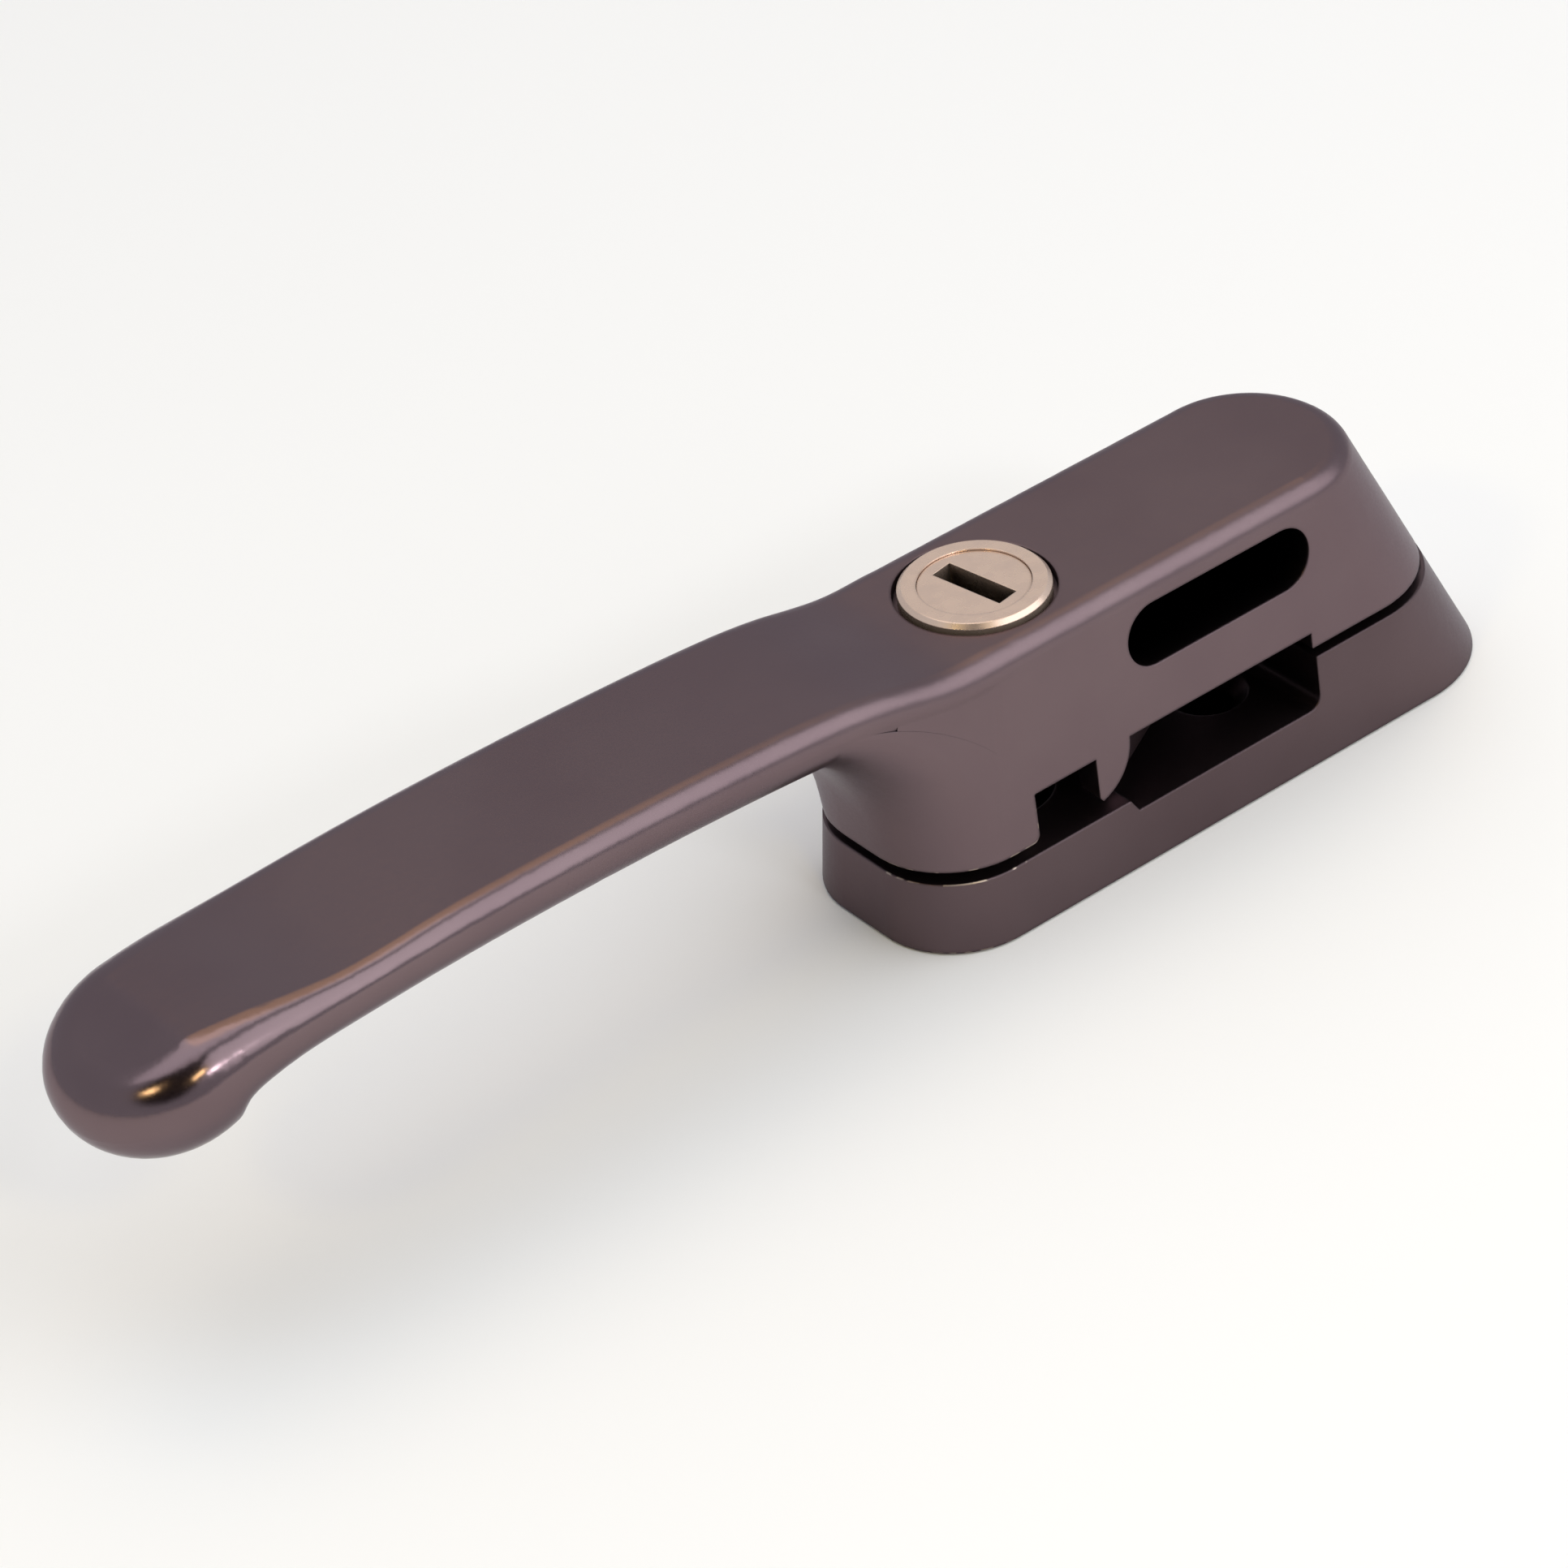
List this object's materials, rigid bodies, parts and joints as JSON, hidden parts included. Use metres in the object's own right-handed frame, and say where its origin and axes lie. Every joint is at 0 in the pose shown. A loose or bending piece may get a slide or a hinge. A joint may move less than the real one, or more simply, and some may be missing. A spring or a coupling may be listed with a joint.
{
  "type": "casement window handle",
  "caption": "Key-locking casement window handle: a tapered base plate and a cranked swing lever with a mouth, hooked tooth, vent slot and round nickel key lock.",
  "frame": {"origin": "where the lever's pivot axis meets the mounting face of the base plate", "axes": "+Z out of the mounting face along the pivot axis, -X along the lever's arm to its tip, -Y out of the mouth towards the striker"},
  "size_m": [0.1325, 0.02, 0.0277],
  "materials": {
    "bronze_coat": "glossy metallic coat",
    "satin_nickel": "satin",
    "zinc_steel": "satin",
    "spring_steel": "satin",
    "brass": "satin"
  },
  "bodies": {
    "base": {"base_plate": "bronze_coat", "pivot_bush": "brass"},
    "lever": {"lever_handle": "bronze_coat", "pivot_spindle": "zinc_steel", "disc_spring": "spring_steel", "retaining_washer": "zinc_steel", "spindle_clip": "spring_steel", "stop_pin": "zinc_steel", "lock_barrel": "satin_nickel", "barrel_clip": "spring_steel"},
    "plug": {"lock_plug": "satin_nickel", "plug_clip": "spring_steel", "lock_cam": "zinc_steel", "cam_screw": "zinc_steel", "wafer_spring_1": "spring_steel", "wafer_spring_2": "spring_steel", "wafer_spring_3": "spring_steel", "wafer_spring_4": "spring_steel"},
    "wafer_1_body": {"wafer_1": "brass"},
    "wafer_2_body": {"wafer_2": "brass"},
    "wafer_3_body": {"wafer_3": "brass"},
    "wafer_4_body": {"wafer_4": "brass"}
  },
  "joints": [
    {"name": "lever_swing", "type": "hinge", "parent": "base", "child": "lever", "pos_m": [0, 0, 0], "axis": [0, 0, -1], "range_deg": [0, 90]},
    {"name": "lock_turn", "type": "hinge", "parent": "lever", "child": "plug", "pos_m": [-0.0344, 0, 0], "axis": [0, 0, -1], "range_deg": [0, 90]},
    {"name": "wafer_1_slide", "type": "slide", "parent": "plug", "child": "wafer_1_body", "axis": [-0.1564, 0.9877, 0], "range_m": [0, 0.0005], "stiffness_N_per_m": 20, "springref_m": 0.0005, "deforming": ["wafer_spring_1"]},
    {"name": "wafer_2_slide", "type": "slide", "parent": "plug", "child": "wafer_2_body", "axis": [-0.1564, 0.9877, 0], "range_m": [0, 0.0005], "stiffness_N_per_m": 20, "springref_m": 0.0005, "deforming": ["wafer_spring_2"]},
    {"name": "wafer_3_slide", "type": "slide", "parent": "plug", "child": "wafer_3_body", "axis": [-0.1564, 0.9877, 0], "range_m": [0, 0.0005], "stiffness_N_per_m": 20, "springref_m": 0.0005, "deforming": ["wafer_spring_3"]},
    {"name": "wafer_4_slide", "type": "slide", "parent": "plug", "child": "wafer_4_body", "axis": [-0.1564, 0.9877, 0], "range_m": [0, 0.0005], "stiffness_N_per_m": 20, "springref_m": 0.0005, "deforming": ["wafer_spring_4"]}
  ]
}
